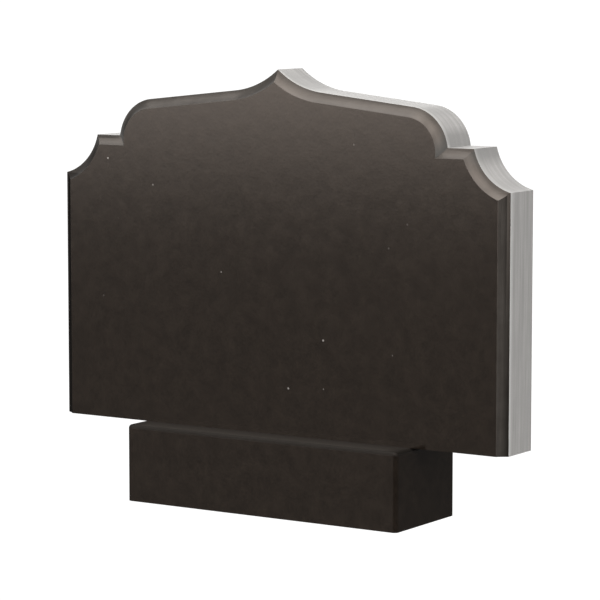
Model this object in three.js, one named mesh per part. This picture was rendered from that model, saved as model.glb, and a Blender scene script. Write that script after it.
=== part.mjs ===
// A headstone of dark granite: an upright shaped slab standing on a low block plinth.
// Sizes are millimetres. X runs along the width, Y from the front to the back, and Z up.
// The origin is the middle of the plinth's underside, and the polished face looks towards -Y.

import * as THREE from "three";
import { toCreasedNormals } from "three/addons/utils/BufferGeometryUtils.js";

// Plinth
const PLINTH_WIDTH = 610;
const PLINTH_DEPTH = 213;
const PLINTH_HEIGHT = 150;
const PLINTH_CORNER_RADIUS = 9; // upright edges
const PLINTH_TOP_ROUND = 7; // edges around the top

// Slab, and the straight upright part of its sides
const SLAB_WIDTH = 1000;
const SLAB_THICKNESS = 100;
const SIDE_HEIGHT = 479;

// Top of the slab, from each side to the middle: a hollow notch, a level ledge, a round
// shoulder, a straight slope and an ogee that sweeps up to the peak
const NOTCH_WIDTH = 76;
const NOTCH_RISE = 76.5;
const NOTCH_HOLLOW = 15.3; // how far the arc lies below its chord
const LEDGE_LENGTH = 55;
const SHOULDER_RADIUS = 83;
const SHOULDER_DROP = 10; // how far the centre of its arc lies below the ledge
const SLOPE_DEGREES = 6.1;
const OGEE_RADIUS = 178;
const PEAK_RISE = 31; // above the point where the two slopes would meet

// Cove moulding around the front edge, open at the foot of the slab
const COVE_WIDTH = 18.5;
const COVE_DEPTH = 14;
const COVE_HOLLOW = 1.4; // how far its section lies below its chord

// Small bevel around the back edge
const BACK_BEVEL = 2;

// Straight pieces that each arc is made of
const NOTCH_STEPS = 12;
const SHOULDER_STEPS = 14;
const OGEE_STEPS = 10;
const COVE_STEPS = 8;
const CORNER_STEPS = 5;
const ROUND_STEPS = 5;

// Sharp edges stay sharp in the shading where the faces meet at more than this angle
const CREASE_DEGREES = 20;

const polishedGranite = new THREE.MeshStandardMaterial({
  color: 0x2f2b27,
  roughness: 0.22,
  metalness: 0,
});

const plinthGranite = new THREE.MeshStandardMaterial({
  color: 0x2b2825,
  roughness: 0.25,
  metalness: 0,
});

function pointOnCircle(centre, radius, angle) {
  return new THREE.Vector2(
    centre.x + radius * Math.cos(angle),
    centre.y + radius * Math.sin(angle)
  );
}

function arcPoints(centre, radius, startAngle, endAngle, steps) {
  const points = [];
  for (let step = 0; step <= steps; step += 1) {
    const angle = THREE.MathUtils.lerp(startAngle, endAngle, step / steps);
    points.push(pointOnCircle(centre, radius, angle));
  }
  return points;
}

// The circle through two points, centred on the right of the way from start to end.
function circleByHollow(start, end, hollow) {
  const chord = end.clone().sub(start);
  const radius = (chord.lengthSq() / 4 + hollow ** 2) / (2 * hollow);
  const right = new THREE.Vector2(chord.y, -chord.x).normalize();
  const centre = start
    .clone()
    .lerp(end, 0.5)
    .addScaledVector(right, radius - hollow);
  return { centre, radius };
}

// A closed body through layers of outlines with equal numbers of points. The first outline runs
// anticlockwise as it is seen from outside, and the others lie behind it, one after another.
function loftGeometry(layers, place) {
  const count = layers[0].outline.length;
  const positions = layers.flatMap(({ outline, level }) =>
    outline.flatMap((point) => place(point, level))
  );
  const indices = [];
  for (let layer = 0; layer + 1 < layers.length; layer += 1) {
    for (let i = 0; i < count; i += 1) {
      const next = (i + 1) % count;
      const near = layer * count + i;
      const nearNext = layer * count + next;
      indices.push(near, near + count, nearNext);
      indices.push(nearNext, near + count, nearNext + count);
    }
  }
  for (const [a, b, c] of THREE.ShapeUtils.triangulateShape(layers[0].outline, [])) {
    indices.push(a, b, c);
  }
  const last = (layers.length - 1) * count;
  for (const [a, b, c] of THREE.ShapeUtils.triangulateShape(layers.at(-1).outline, [])) {
    indices.push(last + c, last + b, last + a);
  }
  const geometry = new THREE.BufferGeometry();
  geometry.setAttribute("position", new THREE.Float32BufferAttribute(positions, 3));
  geometry.setIndex(indices);
  return toCreasedNormals(geometry, THREE.MathUtils.degToRad(CREASE_DEGREES));
}

// Circles and levels that the right half of the slab's outline is drawn from, with the foot of
// the slab at height 0.
function slabConstruction() {
  const slope = THREE.MathUtils.degToRad(SLOPE_DEGREES);
  const sideX = SLAB_WIDTH / 2;
  const ledgeHeight = SIDE_HEIGHT + NOTCH_RISE;
  const ledgeOuterX = sideX - NOTCH_WIDTH;
  const notch = circleByHollow(
    new THREE.Vector2(sideX, SIDE_HEIGHT),
    new THREE.Vector2(ledgeOuterX, ledgeHeight),
    NOTCH_HOLLOW
  );

  const shoulderReach = Math.sqrt(SHOULDER_RADIUS ** 2 - SHOULDER_DROP ** 2);
  const shoulderCentre = new THREE.Vector2(
    ledgeOuterX - LEDGE_LENGTH - shoulderReach,
    ledgeHeight - SHOULDER_DROP
  );
  const slopeStart = pointOnCircle(shoulderCentre, SHOULDER_RADIUS, Math.PI / 2 - slope);
  const slopesMeet = slopeStart.y + slopeStart.x * Math.tan(slope);

  // The ogee touches the slope line and passes through the peak.
  const upFromSlope = new THREE.Vector2(Math.sin(slope), Math.cos(slope));
  const downSlope = new THREE.Vector2(Math.cos(slope), -Math.sin(slope));
  const peakOffLine = PEAK_RISE * Math.cos(slope);
  const touchAlongLine = Math.sqrt(peakOffLine * (2 * OGEE_RADIUS - peakOffLine));
  const ogeeCentre = new THREE.Vector2(0, slopesMeet + PEAK_RISE)
    .addScaledVector(upFromSlope, OGEE_RADIUS - peakOffLine)
    .addScaledVector(downSlope, touchAlongLine);

  return { slope, sideX, ledgeHeight, notch, shoulderCentre, ogeeCentre };
}

// The slab's outline moved inwards by the inset everywhere but at its foot, anticlockwise from
// the right foot. Its corners stay on the mitre lines.
function slabOutline(inset) {
  const { slope, sideX, ledgeHeight, notch, shoulderCentre, ogeeCentre } = slabConstruction();
  const notchRadius = notch.radius + inset;
  const notchFoot = -Math.acos((sideX - inset - notch.centre.x) / notchRadius);
  const notchDrop = notch.centre.y - (ledgeHeight - inset);
  const notchHead = Math.asin(notchDrop / notchRadius) - Math.PI;
  const shoulderRadius = SHOULDER_RADIUS - inset;
  const shoulderFoot = Math.asin((SHOULDER_DROP - inset) / shoulderRadius);
  const shoulderHead = Math.PI / 2 - slope;
  const ogeeRadius = OGEE_RADIUS + inset;
  const ogeeFoot = -Math.PI / 2 - slope;
  const ogeeHead = -Math.acos(-ogeeCentre.x / ogeeRadius);

  const right = [
    new THREE.Vector2(sideX - inset, 0),
    ...arcPoints(notch.centre, notchRadius, notchFoot, notchHead, NOTCH_STEPS),
    ...arcPoints(shoulderCentre, shoulderRadius, shoulderFoot, shoulderHead, SHOULDER_STEPS),
    ...arcPoints(ogeeCentre, ogeeRadius, ogeeFoot, ogeeHead, OGEE_STEPS),
  ];
  const peak = right.pop();
  const left = right.map((point) => new THREE.Vector2(-point.x, point.y)).reverse();
  return [...right, new THREE.Vector2(0, peak.y), ...left];
}

// The cove's section from the polished face out to the rim: x is the inset from the outline and
// y the depth behind the face.
function coveSection() {
  const rim = new THREE.Vector2(0, COVE_DEPTH);
  const faceEdge = new THREE.Vector2(COVE_WIDTH, 0);
  const { centre, radius } = circleByHollow(rim, faceEdge, COVE_HOLLOW);
  const faceAngle = faceEdge.clone().sub(centre).angle();
  const rimAngle = rim.clone().sub(centre).angle();
  return arcPoints(centre, radius, faceAngle, rimAngle, COVE_STEPS);
}

function makeSlab() {
  const front = -SLAB_THICKNESS / 2;
  const back = SLAB_THICKNESS / 2;
  const layers = coveSection().map(({ x: inset, y: depth }) => ({
    outline: slabOutline(inset),
    level: front + depth,
  }));
  layers.push({ outline: slabOutline(0), level: back - BACK_BEVEL });
  layers.push({ outline: slabOutline(BACK_BEVEL), level: back });
  const geometry = loftGeometry(layers, (point, y) => [point.x, y, point.y]);
  const slab = new THREE.Mesh(geometry, polishedGranite);
  slab.name = "headstone_slab";
  slab.position.z = PLINTH_HEIGHT;
  return slab;
}

// The plinth's plan moved inwards by the inset, anticlockwise as it is seen from above.
function plinthOutline(inset) {
  const centreX = PLINTH_WIDTH / 2 - PLINTH_CORNER_RADIUS;
  const centreY = PLINTH_DEPTH / 2 - PLINTH_CORNER_RADIUS;
  const corners = [
    [centreX, centreY],
    [-centreX, centreY],
    [-centreX, -centreY],
    [centreX, -centreY],
  ];
  return corners.flatMap(([x, y], quarter) => {
    const startAngle = (quarter * Math.PI) / 2;
    return arcPoints(
      new THREE.Vector2(x, y),
      PLINTH_CORNER_RADIUS - inset,
      startAngle,
      startAngle + Math.PI / 2,
      CORNER_STEPS
    );
  });
}

function makePlinth() {
  const roundCentre = new THREE.Vector2(PLINTH_TOP_ROUND, PLINTH_HEIGHT - PLINTH_TOP_ROUND);
  const roundPoints = arcPoints(
    roundCentre,
    PLINTH_TOP_ROUND,
    Math.PI / 2,
    Math.PI,
    ROUND_STEPS
  );
  const layers = roundPoints.map(({ x: inset, y: height }) => ({
    outline: plinthOutline(inset),
    level: height,
  }));
  layers.push({ outline: plinthOutline(0), level: 0 });
  const geometry = loftGeometry(layers, (point, z) => [point.x, point.y, z]);
  const plinth = new THREE.Mesh(geometry, plinthGranite);
  plinth.name = "plinth";
  return plinth;
}

const headstone = new THREE.Group();
headstone.name = "headstone";
headstone.add(makePlinth());
headstone.add(makeSlab());

export default headstone;
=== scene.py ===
"""A headstone of dark granite on its plinth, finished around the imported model.

Lengths are metres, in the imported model's frame: X along the width, Y from front to back, Z up.
"""

import math

import bmesh
import bpy
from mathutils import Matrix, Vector


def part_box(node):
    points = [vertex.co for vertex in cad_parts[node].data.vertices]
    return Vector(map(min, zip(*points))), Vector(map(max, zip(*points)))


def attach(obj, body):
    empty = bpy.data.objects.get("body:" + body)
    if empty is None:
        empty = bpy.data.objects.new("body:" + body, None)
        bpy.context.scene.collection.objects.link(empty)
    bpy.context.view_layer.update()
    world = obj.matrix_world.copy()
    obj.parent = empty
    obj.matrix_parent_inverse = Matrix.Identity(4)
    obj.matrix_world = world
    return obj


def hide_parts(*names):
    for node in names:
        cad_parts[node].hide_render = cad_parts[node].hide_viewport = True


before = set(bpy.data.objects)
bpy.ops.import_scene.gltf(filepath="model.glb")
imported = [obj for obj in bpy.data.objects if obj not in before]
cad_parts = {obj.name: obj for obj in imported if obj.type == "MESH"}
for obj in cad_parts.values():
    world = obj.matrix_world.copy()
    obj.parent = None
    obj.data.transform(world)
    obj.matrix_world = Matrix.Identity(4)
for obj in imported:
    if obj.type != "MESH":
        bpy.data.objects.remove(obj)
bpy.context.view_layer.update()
slab_low, slab_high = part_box("headstone_slab")
plinth_low, plinth_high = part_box("plinth")

# Outline of the slab, from each side to the middle: a hollow notch, a level ledge, a round
# shoulder, a straight slope and an ogee that sweeps up to the peak
SIDE_HEIGHT = 0.479
NOTCH_WIDTH = 0.076
NOTCH_RISE = 0.0765
NOTCH_HOLLOW = 0.0153
LEDGE_LENGTH = 0.055
SHOULDER_RADIUS = 0.083
SHOULDER_DROP = 0.010
SLOPE = math.radians(6.1)
OGEE_RADIUS = 0.178
PEAK_RISE = 0.031

# Section of the slab's edge: the cove moulding in front and the bevel behind
COVE_WIDTH = 0.0185
COVE_DEPTH = 0.014
COVE_HOLLOW = 0.0014
BACK_BEVEL = 0.002
ARRIS = 0.0003  # how far a worked edge is eased on each side of it
SUPPORT = 0.001  # from a rounded edge to the row that keeps the flat beside it flat

# Plinth
PLINTH_CORNER_RADIUS = 0.009
PLINTH_TOP_ROUND = 0.007

# Pieces in each arc
NOTCH_STEPS = 40
SHOULDER_STEPS = 44
OGEE_STEPS = 36
COVE_STEPS = 20
ARRIS_STEPS = 3
CORNER_STEPS = 10
ROUND_STEPS = 8
SHARP_ANGLE = math.radians(35)

# Stone colours, between which each finish varies
POLISHED_DARK = (0.0045, 0.0031, 0.0022, 1)
POLISHED_LIGHT = (0.0122, 0.0087, 0.0062, 1)
HONED_DARK = (0.018, 0.0161, 0.0141, 1)
HONED_LIGHT = (0.040, 0.0362, 0.0322, 1)
TOP_DARK = (0.006, 0.0051, 0.0043, 1)
TOP_LIGHT = (0.025, 0.0220, 0.0190, 1)
SAWN_DARK = (0.194, 0.187, 0.180, 1)
SAWN_LIGHT = (0.305, 0.296, 0.285, 1)
SAWN_CLOUD = (0.219, 0.213, 0.206, 1)

# Colours that a finish takes on in places: real flecks, painted light and painted shade, and the
# arcs' darker finish
FLECK = (0.24, 0.225, 0.21, 1)
COVE_PAINTED_LIGHT = (0.081, 0.080, 0.076, 1)  # painted light on the steep parts of the moulding's arcs
COVE_PAINTED_SHADE = (0.003, 0.0025, 0.002, 1)  # painted shade beside its upright rims, and at the left end
RIM_PAINTED_HIGHLIGHT = (0.47, 0.457, 0.441, 1)  # painted highlight on the sawn edge, beside the moulding
BACK_PAINTED_SHADE = (0.15, 0.146, 0.14, 1)  # painted shade on the sawn edge, beside the back
ARC_DARK = (0.14, 0.137, 0.131, 1)  # partly a darker finish and partly painted shade, on the steep and the gentle parts of the sawn arcs

# Gloss: roughness between two limits, and how strongly the polish mirrors
FACE_GLOSS = (0.108, 0.124)
COVE_GLOSS = (0.28, 0.32)
PLINTH_GLOSS = (0.12, 0.15)
TOP_GLOSS = (0.45, 0.5)
SAWN_GLOSS = (0.55, 0.7)
GLOSS_RANGE = (0.3, 0.7)  # noise levels that the limits belong to
FACE_SPECULAR = 0.5
PLINTH_SPECULAR = 0.48
TOP_SPECULAR = 0.1
SPECULAR_TINT = (1.0, 0.85, 0.745, 1)

# Patterns of the polished and honed stone. A scale counts the waves of the noise in a metre, and
# a range gives the noise levels between which the colour goes from dark to light.
CLOUD_SCALE = 36.0
CLOUD_RANGE = (0.38, 0.66)
GRAIN_SCALE = (210.0, 210.0, 210.0)
GRAIN_RANGE = (0.36, 0.64)
MARKS_SCALE = (9.0, 230.0, 9.0)  # tool marks, drawn out along the moulding
PATTERN_SHARE = 0.45  # what the clouds and the grain can each add of the light colour
GRAIN_HEIGHT = 0.3  # of the grain beside the clouds, in the surface relief
POLISHED_BUMP = (0.25, 0.0002)  # strength and distance
NOISE_OCTAVES = 3.0
NOISE_ROUGHNESS = 0.55
RICH_OCTAVES = 4.0
RICH_ROUGHNESS = 0.65

# Flecks: cells in a metre, the radius in cells over which a fleck fades out, and the range of
# the cells' random number over which flecks show up
FLECK_SCALE = 26.0
FLECK_RADIUS = (0.032, 0.062)
FLECK_CHOICE = (0.50, 0.90)

# Patterns of the sawn stone. Streaks are drawn out across the small numbers of their scale.
EDGE_STREAKS = (4.0, 120.0, 4.0)
BACK_STREAKS = (2.5, 2.5, 60.0)
BASE_STREAKS = (2.5, 60.0, 2.5)
EDGE_PARTS = (0.75, 0.35)  # of the streaks and the grain
PLAIN_PARTS = (0.4, 0.6)
STREAK_RANGE = (0.37, 0.63)
SAWN_GRAIN_SCALE = 420.0
SAWN_GRAIN_ROUGHNESS = 0.7
SAWN_GRAIN_RANGE = (0.25, 0.75)
SAWN_CLOUD_SCALE = 22.0
SAWN_CLOUD_RANGE = (0.35, 0.75)
SAWN_CLOUD_SHARE = 0.35
SAWN_BUMP = (0.3, 0.0006)

# Zones of the sawn edge: painted highlight along the rim, painted shade along the back, and arcs
# that are partly a darker finish and partly painted shade. A band has its width, and a share is
# the most that a zone's colour adds.
# The ranges after them are of the normal's Z, which is 0 on an upright face and 1 on a level one.
RIM_BAND = 0.012
RIM_SHARE = 0.75
RIM_SHARE_ON_ARCS = 0.4  # of RIM_SHARE
RIM_UPWARD = (0.02, 0.25)
BACK_BAND = 0.005
BACK_SHARE = 0.8
STEEP_RISE = (0.06, 0.16)
STEEP_FALL = (0.38, 0.56)
STEEP_SHARE = 0.6
GENTLE_RISE = (0.74, 0.86)
GENTLE_FALL = (0.955, 0.985)
GENTLE_SHARE = 0.3

# Zones of the moulding: painted light on its steep arcs, and painted shade beside its upright
# rims and at the left end
COVE_SHADE_BAND = 0.007
COVE_UPWARD = (0.0, 0.3)
COVE_PAINTED_LIGHT_SHARE = 0.8
LEFT_NOTCH_SHADE_SHARE = 0.4  # of the painted shade that the left side's moulding has in full
ZONE_EDGE = 0.001  # width over which one zone goes over into the next

# Painted highlight on the plinth's top, with painted shade by the slab
TOP_HIGHLIGHT_SHARE = 0.68  # of the light colour, as painted highlight, at its front and back edge
TOP_PATTERN_SHARE = 0.2
TOP_ROUND_PART = 0.15  # part of the rounding's height that still has the painted highlight
TOP_END_BAND = (0.035, 0.008)  # the painted highlight runs out between these distances from the ends

# Camera at the photograph's viewing angle
CAMERA_PLACE = Vector((3.02309, -4.61141, 1.03133))
CAMERA_YAW = math.radians(33.0213)
CAMERA_PITCH = math.radians(6.5165)
CAMERA_LENS = 174.903  # millimetres, on a sensor 36 mm wide
CAMERA_REACH = 200.0

# Studio
FLOOR_HALF_WIDTH = 60.0
FLOOR_GAP = 0.0003  # keeps the floor clear of the plinth's underside
BACKDROP_LIGHT = 1.1
GROUND_LIGHT = 0.11
HORIZON = math.sin(math.radians(-2.9))  # the height where the sky meets the dark ground
HORIZON_SOFTNESS = 0.029

# Soft patches of light over and under the horizon: azimuth from the front towards +X, elevation
# and half width in degrees, and strength, which takes light away where it is negative
SKY_PATCHES = [
    (-26, 8, 28, 4.75),
    (60, 8, 28, 0.9),
    (90, 8, 28, 2.2),
    (120, 8, 28, 2.7),
    (150, 8, 28, 1.0),
    (210, 8, 28, 1.9),
    (300, 8, 28, 0.6),
    (-85, 34, 32, 0.3),
    (0, 35, 32, 1.8),
    (45, 35, 32, 3.9),
    (90, 35, 32, 0.6),
    (225, 35, 32, 1.2),
    (45, 65, 32, 3.4),
    (225, 65, 32, 0.7),
    (-45, 65, 32, 4.25),
    (0, 90, 30, 1.0),
]
GROUND_PATCHES = [
    (-33, -12, 45, 0.22),
    (248, -8, 32, -0.09),
]


def arc_points(centre, radius, start, end, steps):
    points = []
    for step in range(steps + 1):
        angle = start + (end - start) * step / steps
        points.append(centre + radius * Vector((math.cos(angle), math.sin(angle))))
    return points


def circle_by_hollow(start, end, hollow):
    """The circle through two points, centred on the right of the way from start to end."""
    chord = end - start
    radius = (chord.length_squared / 4 + hollow**2) / (2 * hollow)
    right = Vector((chord.y, -chord.x)).normalized()
    return (start + end) / 2 + right * (radius - hollow), radius


def slab_outline(inset):
    """The slab's outline moved inwards everywhere but at its foot, with the foot at height 0."""
    side_x = slab_high.x
    ledge_height = SIDE_HEIGHT + NOTCH_RISE
    ledge_outer_x = side_x - NOTCH_WIDTH

    notch_centre, notch_radius = circle_by_hollow(
        Vector((side_x, SIDE_HEIGHT)), Vector((ledge_outer_x, ledge_height)), NOTCH_HOLLOW
    )
    notch_radius += inset
    notch_foot = -math.acos((side_x - inset - notch_centre.x) / notch_radius)
    notch_head = math.asin((notch_centre.y - ledge_height + inset) / notch_radius) - math.pi

    shoulder_reach = math.sqrt(SHOULDER_RADIUS**2 - SHOULDER_DROP**2)
    shoulder_centre = Vector(
        (ledge_outer_x - LEDGE_LENGTH - shoulder_reach, ledge_height - SHOULDER_DROP)
    )
    shoulder_radius = SHOULDER_RADIUS - inset
    shoulder_foot = math.asin((SHOULDER_DROP - inset) / shoulder_radius)
    shoulder_head = math.pi / 2 - SLOPE
    up_from_slope = Vector((math.sin(SLOPE), math.cos(SLOPE)))
    down_slope = Vector((math.cos(SLOPE), -math.sin(SLOPE)))
    slope_start = shoulder_centre + SHOULDER_RADIUS * up_from_slope
    slopes_meet = slope_start.y + slope_start.x * math.tan(SLOPE)

    # The ogee touches the slope line and passes through the peak.
    peak_off_line = PEAK_RISE * math.cos(SLOPE)
    touch_along_line = math.sqrt(peak_off_line * (2 * OGEE_RADIUS - peak_off_line))
    ogee_centre = Vector((0, slopes_meet + PEAK_RISE))
    ogee_centre += up_from_slope * (OGEE_RADIUS - peak_off_line)
    ogee_centre += down_slope * touch_along_line
    ogee_radius = OGEE_RADIUS + inset
    ogee_head = -math.acos(-ogee_centre.x / ogee_radius)

    right = [Vector((side_x - inset, 0))]
    right += arc_points(notch_centre, notch_radius, notch_foot, notch_head, NOTCH_STEPS)
    right += arc_points(
        shoulder_centre, shoulder_radius, shoulder_foot, shoulder_head, SHOULDER_STEPS
    )
    right += arc_points(
        ogee_centre, ogee_radius, -math.pi / 2 - SLOPE, ogee_head, OGEE_STEPS
    )
    peak = right.pop()
    left = [Vector((-point.x, point.y)) for point in reversed(right)]
    return right + [Vector((0, peak.y))] + left


def eased_corner(before, corner, after, reach):
    """The corner rounded off, from reach before it to reach after it."""
    start = corner + (before - corner).normalized() * reach
    end = corner + (after - corner).normalized() * reach
    points = []
    for step in range(ARRIS_STEPS + 1):
        share = step / ARRIS_STEPS
        points.append(start.lerp(corner, share).lerp(corner.lerp(end, share), share))
    return points


def slab_section():
    """The edge's section from the face to the back, as (inset, depth, finish) with the finish
    of the strip that follows."""
    thickness = slab_high.y - slab_low.y
    rim = Vector((0, COVE_DEPTH))
    face_edge = Vector((COVE_WIDTH, 0))
    centre, radius = circle_by_hollow(rim, face_edge, COVE_HOLLOW)
    face_angle = math.atan2(face_edge.y - centre.y, face_edge.x - centre.x)
    rim_angle = math.atan2(rim.y - centre.y, rim.x - centre.x)
    if rim_angle < face_angle:
        rim_angle += 2 * math.pi
    cove = arc_points(centre, radius, face_angle, rim_angle, COVE_STEPS)
    inner = face_edge + Vector((COVE_WIDTH, 0))
    bevel_start = Vector((0, thickness - BACK_BEVEL))
    bevel_end = Vector((BACK_BEVEL, thickness))
    section = [(point, "cove") for point in eased_corner(inner, face_edge, cove[1], ARRIS)]
    section += [(point, "cove") for point in cove[1:-1]]
    rim_points = eased_corner(cove[-2], rim, bevel_start, ARRIS)
    section += [(point, "cove") for point in rim_points[:1]]
    section += [(point, "sawn") for point in rim_points[1:]]
    section.append((rim + Vector((0, ARRIS + SUPPORT)), "sawn"))
    section += [(bevel_start, "sawn"), (bevel_end, "back")]
    return section


def loft(name, layers, place, finishes):
    """A closed mesh object through layers of (outline, level, finish). The first outline runs
    anticlockwise as it is seen from outside, and the first cap takes the first of the finishes."""
    mesh_data = bmesh.new()
    rings = []
    for outline, level, _ in layers:
        rings.append([mesh_data.verts.new(place(point, level)) for point in outline])
    count = len(rings[0])
    first_cap = mesh_data.faces.new(rings[0])
    last_cap = mesh_data.faces.new(list(reversed(rings[-1])))
    first_cap.material_index = 0
    last_cap.material_index = finishes.index(layers[-1][2])
    for (ring, next_ring), (_, _, finish) in zip(zip(rings, rings[1:]), layers):
        for i in range(count):
            j = (i + 1) % count
            face = mesh_data.faces.new((ring[i], next_ring[i], next_ring[j], ring[j]))
            face.material_index = finishes.index(finish)
    bmesh.ops.recalc_face_normals(mesh_data, faces=mesh_data.faces)
    mesh = bpy.data.meshes.new(name)
    mesh_data.to_mesh(mesh)
    mesh_data.free()
    mesh.set_sharp_from_angle(angle=SHARP_ANGLE)
    for cap in mesh.polygons[:2]:
        cap.use_smooth = False
    piece = bpy.data.objects.new(name, mesh)
    bpy.context.scene.collection.objects.link(piece)
    return piece


def add_node(tree, kind, inputs=None, **settings):
    """A node with its settings, and with its inputs set to values or linked to sockets."""
    node = tree.nodes.new(kind)
    for name, value in settings.items():
        setattr(node, name, value)
    for name, value in (inputs or {}).items():
        if isinstance(value, bpy.types.NodeSocket):
            tree.links.new(value, node.inputs[name])
        else:
            node.inputs[name].default_value = value
    return node


def new_tree(block):
    block.use_nodes = True
    block.node_tree.nodes.clear()
    return block.node_tree


def noise(tree, position, scale, detail=NOISE_OCTAVES, roughness=NOISE_ROUGHNESS):
    inputs = {"Vector": position, "Scale": scale, "Detail": detail, "Roughness": roughness}
    return add_node(tree, "ShaderNodeTexNoise", inputs).outputs["Fac"]


def stretched(tree, position, scale):
    inputs = {"Vector": position, "Scale": scale}
    return add_node(tree, "ShaderNodeMapping", inputs).outputs["Vector"]


def remapped(tree, value, low, high, to_low, to_high):
    inputs = {
        "Value": value,
        "From Min": low,
        "From Max": high,
        "To Min": to_low,
        "To Max": to_high,
    }
    return add_node(tree, "ShaderNodeMapRange", inputs).outputs["Result"]


def product(tree, first, second):
    inputs = {0: first, 1: second}
    return add_node(tree, "ShaderNodeMath", inputs, operation="MULTIPLY").outputs[0]


def total(tree, first, second):
    inputs = {0: first, 1: second}
    return add_node(tree, "ShaderNodeMath", inputs, operation="ADD").outputs[0]


def magnitude(tree, value):
    return add_node(tree, "ShaderNodeMath", {0: value}, operation="ABSOLUTE").outputs[0]


def blended(tree, share, first, second):
    """Mix's sockets share their names, so its factor and colours are reached by number."""
    inputs = {0: share, 6: first, 7: second}
    return add_node(tree, "ShaderNodeMix", inputs, data_type="RGBA").outputs[2]


def hump(tree, value, rise, fall, peak):
    """Rises from 0 to the peak over one range of the value, and falls back over another."""
    rising = remapped(tree, value, *rise, 0.0, peak)
    return product(tree, rising, remapped(tree, value, *fall, 1.0, 0.0))


def upward_normal(tree):
    """The normal's Z: 0 on an upright face and 1 on a level one."""
    normal = add_node(tree, "ShaderNodeNewGeometry").outputs["Normal"]
    return add_node(tree, "ShaderNodeSeparateXYZ", {"Vector": normal}).outputs["Z"]


def finish_surface(tree, height, bump, inputs):
    """The shader with its inputs, and with the height as relief of this strength and depth."""
    strength, distance = bump
    relief = add_node(
        tree, "ShaderNodeBump", {"Height": height, "Strength": strength, "Distance": distance}
    )
    inputs["Normal"] = relief.outputs["Normal"]
    shader = add_node(tree, "ShaderNodeBsdfPrincipled", inputs)
    add_node(tree, "ShaderNodeOutputMaterial", {"Surface": shader.outputs["BSDF"]})


def top_share_with_painted_highlight(tree, place, share):
    """Painted shade by the slab that rises to a painted highlight at the front and the back edge
    of the plinth's top, but not at its two ends or on its rounding."""
    depth = magnitude(tree, place["Y"])
    # painted highlight towards the front and back edges, painted shade by the slab
    outward = remapped(tree, depth, slab_high.y, plinth_high.y, 0.0, TOP_HIGHLIGHT_SHARE)
    highlight_foot = plinth_high.z - PLINTH_TOP_ROUND * TOP_ROUND_PART
    upper = remapped(tree, place["Z"], highlight_foot, plinth_high.z, 0.0, 1.0)
    width = magnitude(tree, place["X"])
    inner_end, outer_end = (plinth_high.x - distance for distance in TOP_END_BAND)
    between_ends = remapped(tree, width, inner_end, outer_end, 1.0, 0.0)
    painted_highlight = product(tree, product(tree, outward, between_ends), upper)
    return total(tree, product(tree, share, TOP_PATTERN_SHARE), painted_highlight)


def cove_painted_light_and_shade(tree, place, colour):
    """Painted light on the steep parts of the arcs, and painted shade beside the rim of the
    upright parts and along the left notch and side."""
    side_head = slab_low.z + SIDE_HEIGHT
    zone_foot = side_head - ZONE_EDGE
    above = remapped(tree, place["Z"], zone_foot, side_head, 0.0, 1.0)
    below = remapped(tree, place["Z"], zone_foot, side_head, 1.0, 0.0)
    # painted light on the steep parts of the arcs above the sides
    steep = remapped(tree, upward_normal(tree), *COVE_UPWARD, COVE_PAINTED_LIGHT_SHARE, 0.0)
    colour = blended(tree, product(tree, above, steep), colour, COVE_PAINTED_LIGHT)
    # painted shade beside the rim of the upright parts
    rim = slab_low.y + COVE_DEPTH
    near_rim = remapped(tree, place["Y"], rim - COVE_SHADE_BAND, rim, 0.0, 1.0)
    colour = blended(tree, product(tree, below, near_rim), colour, COVE_PAINTED_SHADE)
    # painted shade along the left notch and side
    notch_end = slab_low.x + NOTCH_WIDTH
    at_left = remapped(tree, place["X"], notch_end - ZONE_EDGE, notch_end, 1.0, 0.0)
    left_shade_share = remapped(tree, place["Z"], zone_foot, side_head, 1.0, LEFT_NOTCH_SHADE_SHARE)
    return blended(tree, product(tree, at_left, left_shade_share), colour, COVE_PAINTED_SHADE)


def flecked(tree, position, colour):
    """A few small pale flecks, some fainter than others."""
    inputs = {"Vector": position, "Scale": FLECK_SCALE, "Randomness": 1.0}
    cells = add_node(tree, "ShaderNodeTexVoronoi", inputs).outputs
    near = remapped(tree, cells["Distance"], *FLECK_RADIUS, 1.0, 0.0)
    numbers = add_node(tree, "ShaderNodeSeparateColor", {"Color": cells["Color"]}).outputs
    chosen = remapped(tree, numbers["Red"], *FLECK_CHOICE, 0.0, 1.0)
    return blended(tree, product(tree, near, chosen), colour, FLECK)


def polished_granite(
    name, zone, dark, light, gloss, specular=FACE_SPECULAR, grain_scale=GRAIN_SCALE
):
    """Fine dark granite with faint clouds and a fine grain, and what its zone adds to them:
    flecks on the face, painted light and shade on the cove, a painted highlight on the top of the
    plinth, and nothing on the plinth's sides."""
    material = bpy.data.materials.new(name)
    tree = new_tree(material)
    position = add_node(tree, "ShaderNodeTexCoord").outputs["Object"]
    clouds = noise(tree, position, CLOUD_SCALE, RICH_OCTAVES, RICH_ROUGHNESS)
    grain_place = stretched(tree, position, grain_scale)
    grain = noise(tree, grain_place, 1.0, NOISE_OCTAVES, RICH_ROUGHNESS)
    cloud_share = remapped(tree, clouds, *CLOUD_RANGE, 0.0, PATTERN_SHARE)
    grain_share = remapped(tree, grain, *GRAIN_RANGE, 0.0, PATTERN_SHARE)
    share = total(tree, cloud_share, grain_share)
    place = add_node(tree, "ShaderNodeSeparateXYZ", {"Vector": position}).outputs
    if zone == "top":
        share = top_share_with_painted_highlight(tree, place, share)
    colour = blended(tree, share, dark, light)
    if zone == "face":
        colour = flecked(tree, position, colour)
    if zone == "cove":
        colour = cove_painted_light_and_shade(tree, place, colour)
    height = total(tree, clouds, product(tree, grain, GRAIN_HEIGHT))
    inputs = {
        "Base Color": colour,
        "Roughness": remapped(tree, clouds, *GLOSS_RANGE, *gloss),
        "Specular IOR Level": specular,
        "Specular Tint": SPECULAR_TINT,
    }
    finish_surface(tree, height, POLISHED_BUMP, inputs)
    return material


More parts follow.
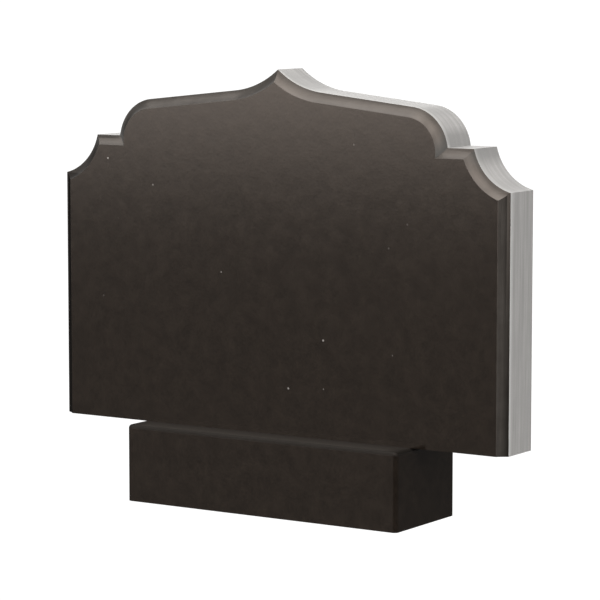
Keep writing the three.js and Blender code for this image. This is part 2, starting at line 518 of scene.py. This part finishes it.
def banded_colour(tree, position, colour):
    """Darker on parts of the arcs, partly a darker finish and partly painted shade, with painted
    shade along the back and a painted highlight along the rim.
    """
    depth = add_node(tree, "ShaderNodeSeparateXYZ", {"Vector": position}).outputs["Y"]
    upward = upward_normal(tree)
    # darker arcs, partly their finish and partly painted shade
    steep = hump(tree, upward, STEEP_RISE, STEEP_FALL, STEEP_SHARE)
    gentle = hump(tree, upward, GENTLE_RISE, GENTLE_FALL, GENTLE_SHARE)
    colour = blended(tree, total(tree, steep, gentle), colour, ARC_DARK)
    # painted highlight along the rim, weaker on the arcs that face up
    rim = slab_low.y + COVE_DEPTH
    near_rim = product(
        tree,
        remapped(tree, depth, rim, rim + RIM_BAND, RIM_SHARE, 0.0),
        remapped(tree, upward, *RIM_UPWARD, 1.0, RIM_SHARE_ON_ARCS),
    )
    colour = blended(tree, near_rim, colour, RIM_PAINTED_HIGHLIGHT)
    # painted shade along the back
    back = slab_high.y
    near_back = remapped(tree, depth, back - BACK_BAND, back, 0.0, BACK_SHARE)
    return blended(tree, near_back, colour, BACK_PAINTED_SHADE)


def sawn_granite(name, streak_scale, streak_part, grain_part, banded=False):
    """Pale sawn granite with clouds, grain and saw marks. The slab's edge is banded with painted
    highlight, painted shade and darker arcs.
    """
    material = bpy.data.materials.new(name)
    tree = new_tree(material)
    position = add_node(tree, "ShaderNodeTexCoord").outputs["Object"]
    streak_place = stretched(tree, position, streak_scale)
    streaks = noise(tree, streak_place, 1.0, RICH_OCTAVES, RICH_ROUGHNESS)
    clouds = noise(tree, position, SAWN_CLOUD_SCALE)
    grain = noise(tree, position, SAWN_GRAIN_SCALE, roughness=SAWN_GRAIN_ROUGHNESS)
    streak_share = remapped(tree, streaks, *STREAK_RANGE, 0.0, streak_part)
    grain_share = remapped(tree, grain, *SAWN_GRAIN_RANGE, 0.0, grain_part)
    colour = blended(tree, total(tree, streak_share, grain_share), SAWN_DARK, SAWN_LIGHT)
    cloud_share = remapped(tree, clouds, *SAWN_CLOUD_RANGE, 0.0, SAWN_CLOUD_SHARE)
    colour = blended(tree, cloud_share, colour, SAWN_CLOUD)
    if banded:
        colour = banded_colour(tree, position, colour)
    inputs = {
        "Base Color": colour,
        "Roughness": remapped(tree, streaks, *GLOSS_RANGE, *SAWN_GLOSS),
    }
    finish_surface(tree, product(tree, streaks, grain), SAWN_BUMP, inputs)
    return material


def make_slab():
    layers = [
        (slab_outline(point.x), slab_low.y + point.y, finish)
        for point, finish in slab_section()
    ]
    slab = loft(
        "granite_slab",
        layers,
        lambda point, level: (point.x, level, slab_low.z + point.y),
        ["face", "cove", "sawn", "back"],
    )
    materials = [
        polished_granite("polished_face", "face", POLISHED_DARK, POLISHED_LIGHT, FACE_GLOSS),
        polished_granite(
            "honed_cove", "cove", HONED_DARK, HONED_LIGHT, COVE_GLOSS, grain_scale=MARKS_SCALE
        ),
        sawn_granite("sawn_edge", EDGE_STREAKS, *EDGE_PARTS, banded=True),
        sawn_granite("sawn_back", BACK_STREAKS, *PLAIN_PARTS),
    ]
    for material in materials:
        slab.data.materials.append(material)
    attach(slab, "root")
    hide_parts("headstone_slab")


def plinth_outline(inset):
    """The plinth's plan moved inwards, anticlockwise as it is seen from above."""
    centre_x = plinth_high.x - PLINTH_CORNER_RADIUS
    centre_y = plinth_high.y - PLINTH_CORNER_RADIUS
    corners = [(1, 1), (-1, 1), (-1, -1), (1, -1)]
    points = []
    for quarter, (side_x, side_y) in enumerate(corners):
        start = quarter * math.pi / 2
        centre = Vector((side_x * centre_x, side_y * centre_y))
        radius = PLINTH_CORNER_RADIUS - inset
        arc = arc_points(centre, radius, start, start + math.pi / 2, CORNER_STEPS)
        outward = Vector((math.cos(start), math.sin(start)))
        ahead = Vector((-outward.y, outward.x))
        points += [arc[0] - ahead * SUPPORT] + arc + [arc[-1] - outward * SUPPORT]
    return points


def make_plinth():
    round_centre = Vector((PLINTH_TOP_ROUND, plinth_high.z - PLINTH_TOP_ROUND))
    section = [Vector((PLINTH_TOP_ROUND + SUPPORT, plinth_high.z))]
    section += arc_points(round_centre, PLINTH_TOP_ROUND, math.pi / 2, math.pi, ROUND_STEPS)
    section.append(Vector((0, plinth_high.z - PLINTH_TOP_ROUND - SUPPORT)))
    section.append(Vector((0, plinth_low.z + ARRIS)))
    section.append(Vector((ARRIS, plinth_low.z)))
    finishes = ["top"] * (ROUND_STEPS + 1) + ["polished"] * 3 + ["sawn"]
    layers = [
        (plinth_outline(point.x), point.y, finish) for point, finish in zip(section, finishes)
    ]
    plinth = loft(
        "granite_plinth",
        layers,
        lambda point, level: (point.x, point.y, level),
        ["top", "polished", "sawn"],
    )
    materials = [
        polished_granite("honed_top", "top", TOP_DARK, TOP_LIGHT, TOP_GLOSS, TOP_SPECULAR),
        polished_granite(
            "polished_plinth",
            "sides",
            POLISHED_DARK,
            POLISHED_LIGHT,
            PLINTH_GLOSS,
            PLINTH_SPECULAR,
        ),
        sawn_granite("sawn_base", BASE_STREAKS, *PLAIN_PARTS),
    ]
    for material in materials:
        plinth.data.materials.append(material)
    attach(plinth, "root")
    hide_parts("plinth")


def make_floor():
    """The floor is only there for the camera, so that the stone mirrors dark ground."""
    half = FLOOR_HALF_WIDTH
    mesh = bpy.data.meshes.new("studio_floor")
    corners = [
        (-half, -half, -FLOOR_GAP),
        (half, -half, -FLOOR_GAP),
        (half, half, -FLOOR_GAP),
        (-half, half, -FLOOR_GAP),
    ]
    mesh.from_pydata(corners, [], [(0, 1, 2, 3)])
    floor = bpy.data.objects.new("studio_floor", mesh)
    bpy.context.scene.collection.objects.link(floor)
    floor.visible_glossy = False
    floor.visible_diffuse = False
    floor.visible_shadow = False
    material = bpy.data.materials.new("pale_floor")
    tree = new_tree(material)
    glow = add_node(
        tree, "ShaderNodeEmission", {"Color": (1, 1, 1, 1), "Strength": BACKDROP_LIGHT}
    )
    add_node(tree, "ShaderNodeOutputMaterial", {"Surface": glow.outputs["Emission"]})
    mesh.materials.append(material)


def light_patch(tree, direction, azimuth, elevation, half_width):
    """1 in the middle of the patch, falling to 0 at its half width."""
    azimuth, elevation, half_width = map(math.radians, (azimuth, elevation, half_width))
    middle = (
        math.sin(azimuth) * math.cos(elevation),
        -math.cos(azimuth) * math.cos(elevation),
        math.sin(elevation),
    )
    nearness = add_node(
        tree, "ShaderNodeVectorMath", {0: direction, 1: middle}, operation="DOT_PRODUCT"
    ).outputs["Value"]
    inputs = {"Value": nearness, "From Min": math.cos(half_width), "From Max": 1.0}
    return add_node(
        tree, "ShaderNodeMapRange", inputs, interpolation_type="SMOOTHSTEP"
    ).outputs["Result"]


def make_world():
    """A white backdrop for the camera. The stone is lit by a wide soft sky over dark ground."""
    world = bpy.data.worlds.new("studio")
    bpy.context.scene.world = world
    tree = new_tree(world)
    direction = add_node(tree, "ShaderNodeTexCoord").outputs["Generated"]
    height = add_node(tree, "ShaderNodeSeparateXYZ", {"Vector": direction}).outputs["Z"]
    horizon_low = HORIZON - HORIZON_SOFTNESS
    horizon_high = HORIZON + HORIZON_SOFTNESS
    above = remapped(tree, height, horizon_low, horizon_high, 0.0, 1.0)
    below = remapped(tree, height, horizon_low, horizon_high, 1.0, 0.0)
    strength = product(tree, below, GROUND_LIGHT)
    for half_sky, patches in ((above, SKY_PATCHES), (below, GROUND_PATCHES)):
        for azimuth, elevation, half_width, patch_strength in patches:
            patch = light_patch(tree, direction, azimuth, elevation, half_width)
            patch = product(tree, patch, half_sky)
            inputs = {0: patch, 1: patch_strength, 2: strength}
            strength = add_node(
                tree, "ShaderNodeMath", inputs, operation="MULTIPLY_ADD"
            ).outputs[0]
    white = (1, 1, 1, 1)
    sky = add_node(tree, "ShaderNodeBackground", {"Color": white, "Strength": strength})
    backdrop = add_node(
        tree, "ShaderNodeBackground", {"Color": white, "Strength": BACKDROP_LIGHT}
    )
    seen = add_node(tree, "ShaderNodeLightPath").outputs["Is Camera Ray"]
    both = add_node(
        tree,
        "ShaderNodeMixShader",
        {0: seen, 1: sky.outputs["Background"], 2: backdrop.outputs["Background"]},
    )
    add_node(tree, "ShaderNodeOutputWorld", {"Surface": both.outputs["Shader"]})


def make_camera():
    data = bpy.data.cameras.new("camera")
    data.lens = CAMERA_LENS
    data.clip_end = CAMERA_REACH
    camera = bpy.data.objects.new("camera", data)
    bpy.context.scene.collection.objects.link(camera)
    camera.location = CAMERA_PLACE
    ahead = Vector((
        -math.sin(CAMERA_YAW) * math.cos(CAMERA_PITCH),
        math.cos(CAMERA_YAW) * math.cos(CAMERA_PITCH),
        -math.sin(CAMERA_PITCH),
    ))
    camera.rotation_euler = ahead.to_track_quat("-Z", "Y").to_euler()
    bpy.context.scene.camera = camera


make_camera()
make_slab()
make_plinth()
make_floor()
make_world()
bpy.context.scene.view_settings.view_transform = "Standard"
